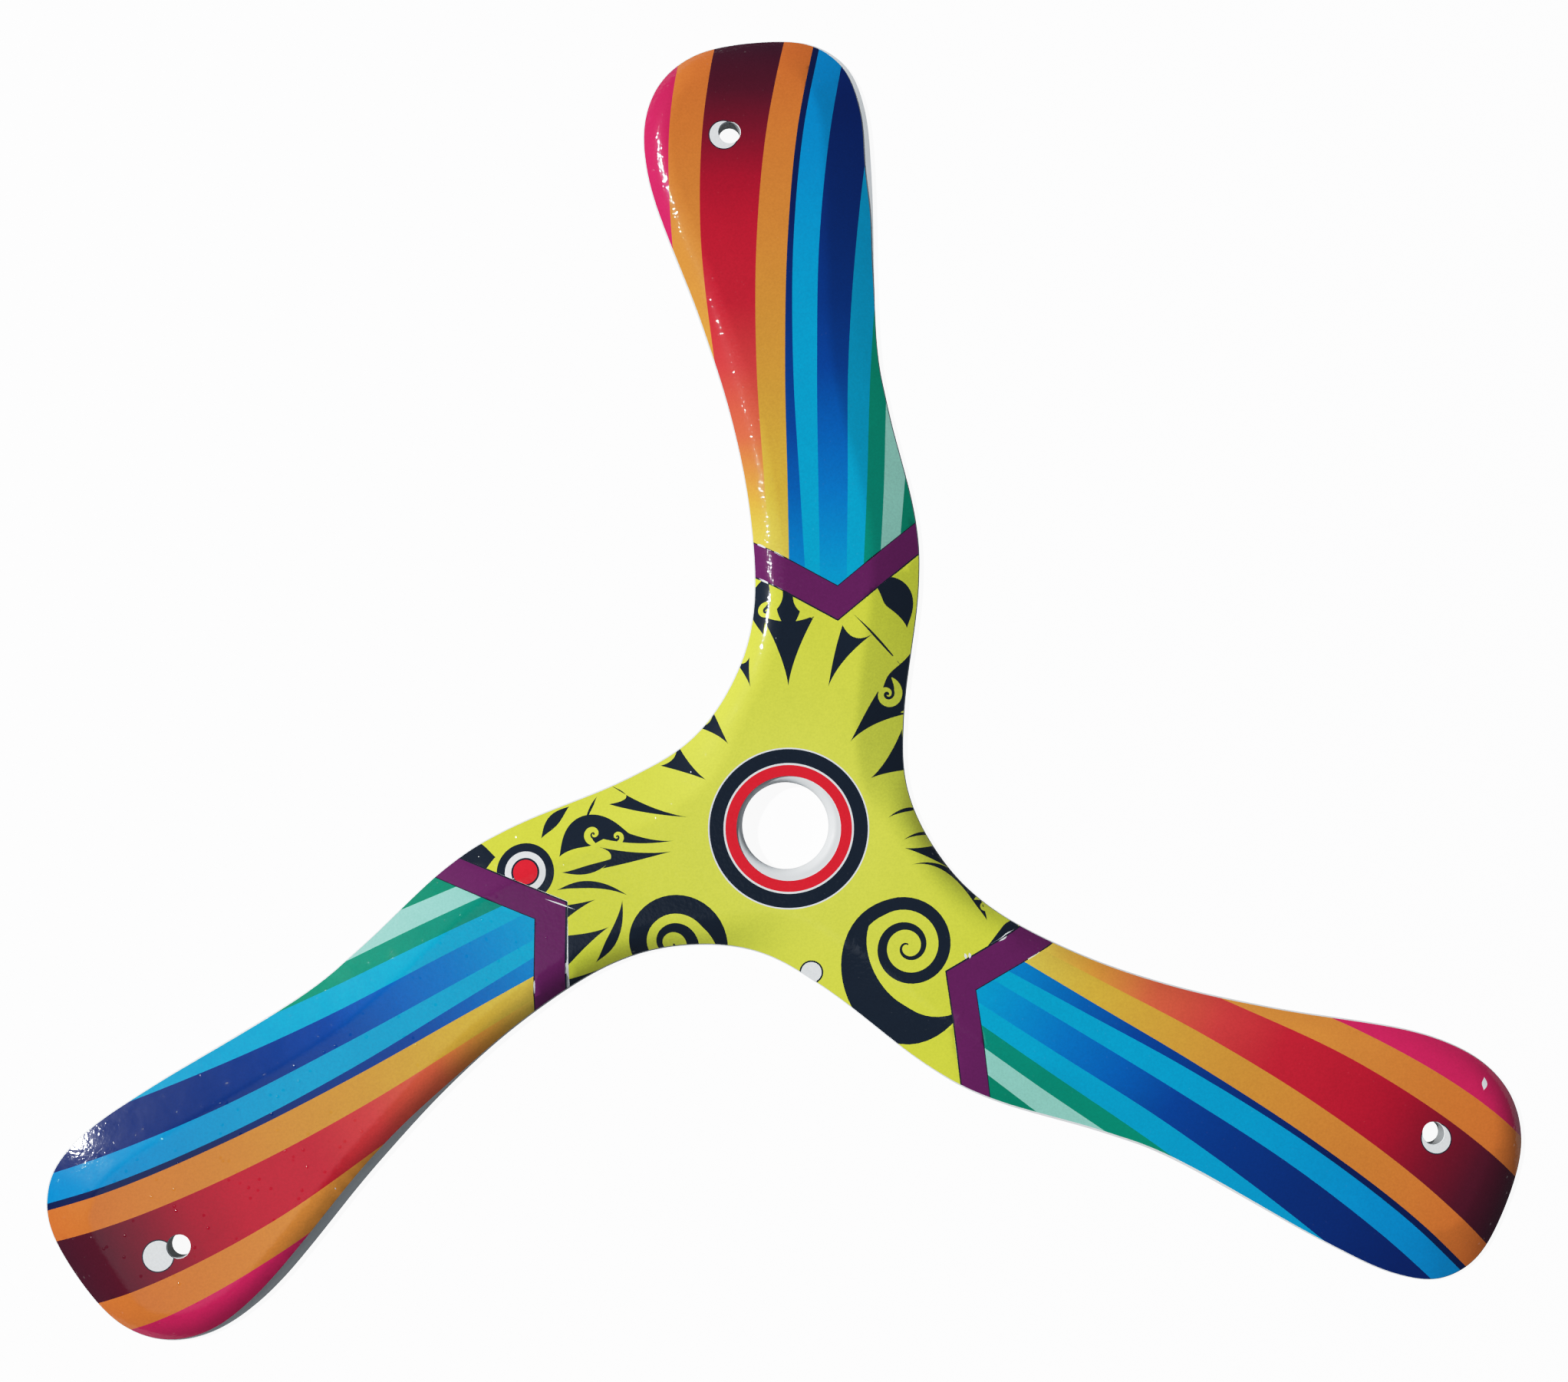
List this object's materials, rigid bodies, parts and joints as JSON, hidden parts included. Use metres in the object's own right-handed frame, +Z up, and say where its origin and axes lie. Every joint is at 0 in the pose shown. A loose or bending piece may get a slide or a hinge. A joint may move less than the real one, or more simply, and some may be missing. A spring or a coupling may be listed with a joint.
{
  "type": "boomerang",
  "caption": "Flat three-blade boomerang: a bevelled plastic plate with a round hub hole, wrapped on top with printed film.",
  "frame": {"origin": "on the spin axis, at the centre of the hub hole, level with the flat underside", "axes": "+Z up out of the printed side; +Y along the first blade, so the other two follow it clockwise as seen from above"},
  "size_m": [0.2661, 0.2393, 0.0035],
  "materials": {
    "plate_plastic": "sawn and sanded white sheet plastic",
    "hub_print": "glossy printed vinyl film with a fine orange-peel grain",
    "blade_print": "glossy printed vinyl film with a fine orange-peel grain"
  },
  "bodies": {
    "root": {"plate": "plate_plastic", "hub_film": "hub_print", "blade_film_1": "blade_print", "blade_film_2": "blade_print", "blade_film_3": "blade_print"}
  },
  "joints": []
}
